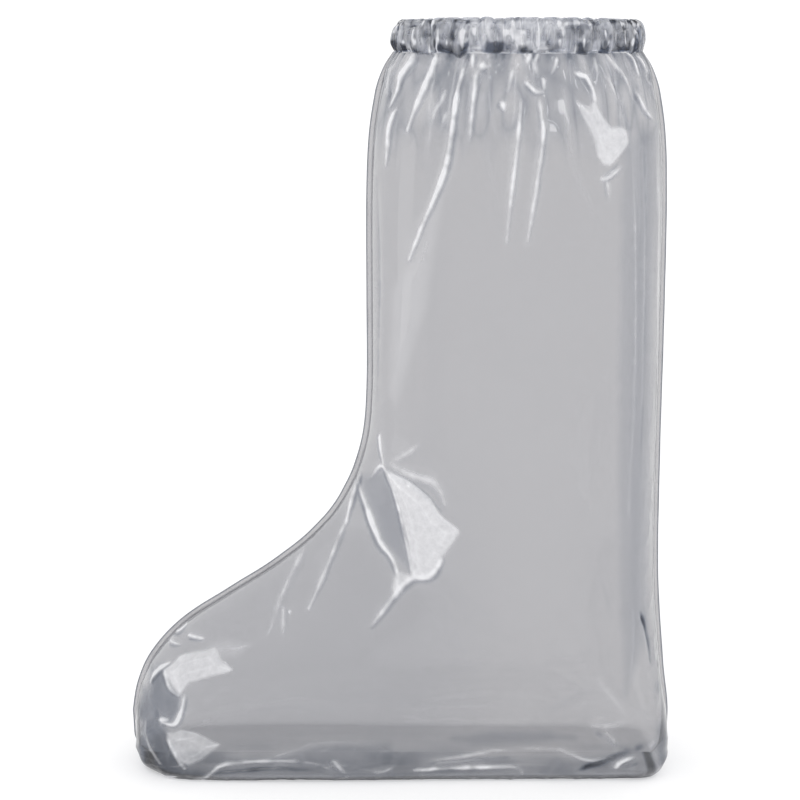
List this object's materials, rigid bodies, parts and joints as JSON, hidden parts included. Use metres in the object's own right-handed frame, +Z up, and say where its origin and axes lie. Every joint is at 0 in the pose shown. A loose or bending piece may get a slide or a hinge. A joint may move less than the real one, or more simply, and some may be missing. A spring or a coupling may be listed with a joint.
{
  "type": "boot-style shoe cover",
  "caption": "Knee-high see-through boot cover of welded plastic film with a gathered elastic hem, standing on its flat sole.",
  "frame": {"origin": "middle of the footprint on the floor", "axes": "+Z up through the leg opening, -X towards the toe, -Y towards the side seen in the picture"},
  "size_m": [0.3362, 0.1373, 0.4569],
  "materials": {
    "film": "clear glossy plastic film, greyish, with crisp highlights",
    "weld": "heat-welded double film edge, denser and slightly cloudy",
    "elastic": "pale flat elastic inside the hem"
  },
  "bodies": {
    "root": {"near_panel": "film", "far_panel": "film", "weld_seam": "weld", "cuff_casing": "film", "elastic_band": "elastic"}
  },
  "joints": []
}
